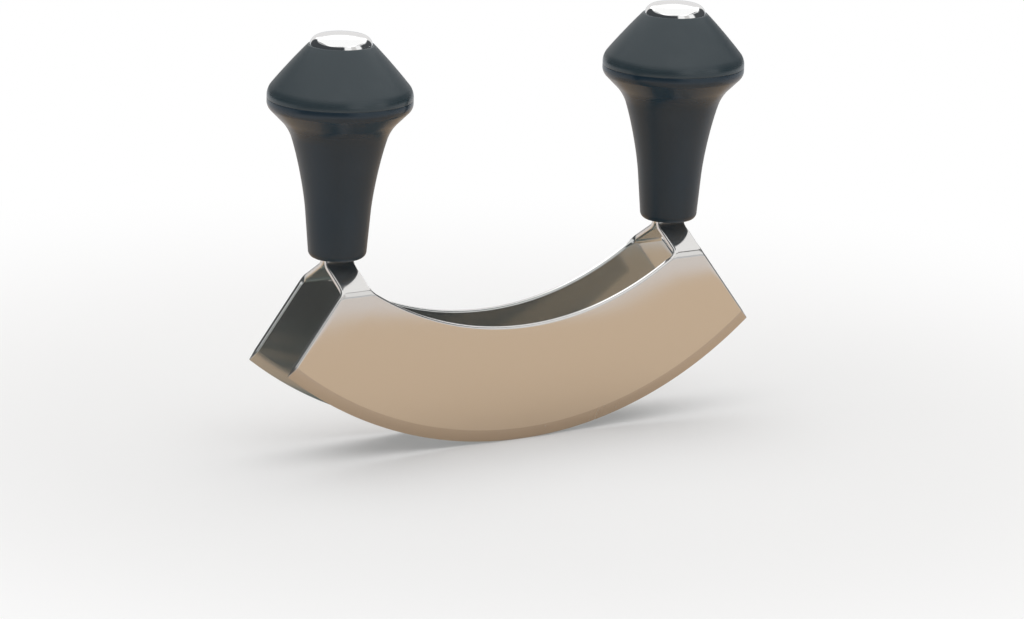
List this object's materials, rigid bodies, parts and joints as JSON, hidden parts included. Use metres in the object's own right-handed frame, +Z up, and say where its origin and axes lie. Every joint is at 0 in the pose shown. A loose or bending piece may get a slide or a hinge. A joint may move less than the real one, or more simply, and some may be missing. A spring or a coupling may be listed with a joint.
{
  "type": "mezzaluna",
  "caption": "Double-bladed mezzaluna: two ground steel crescents with bent-in tangs, carried by two upright black knob handles with steel end caps.",
  "frame": {"origin": "midway between the lowest points of the two cutting edges, on the surface that the tool stands on", "axes": "+X along the blades towards the right handle, +Y across them from the front blade to the back blade, +Z up along the handles"},
  "size_m": [0.165, 0.0436, 0.1288],
  "materials": {
    "blade_steel": "mirror-polished stainless sheet with a finely ground bevel",
    "cap_steel": "mirror-polished stainless",
    "fastener_steel": "plain stainless",
    "grip_plastic": "soft satin black moulding",
    "knob_plastic": "soft satin black moulding"
  },
  "bodies": {
    "root": {"front_blade": "blade_steel", "back_blade": "blade_steel", "left_tang_rivets": "fastener_steel", "right_tang_rivets": "fastener_steel", "left_cross_pin": "fastener_steel", "right_cross_pin": "fastener_steel", "left_grip": "grip_plastic", "right_grip": "grip_plastic", "left_knob_top": "knob_plastic", "right_knob_top": "knob_plastic", "left_end_cap": "cap_steel", "right_end_cap": "cap_steel"}
  },
  "joints": []
}
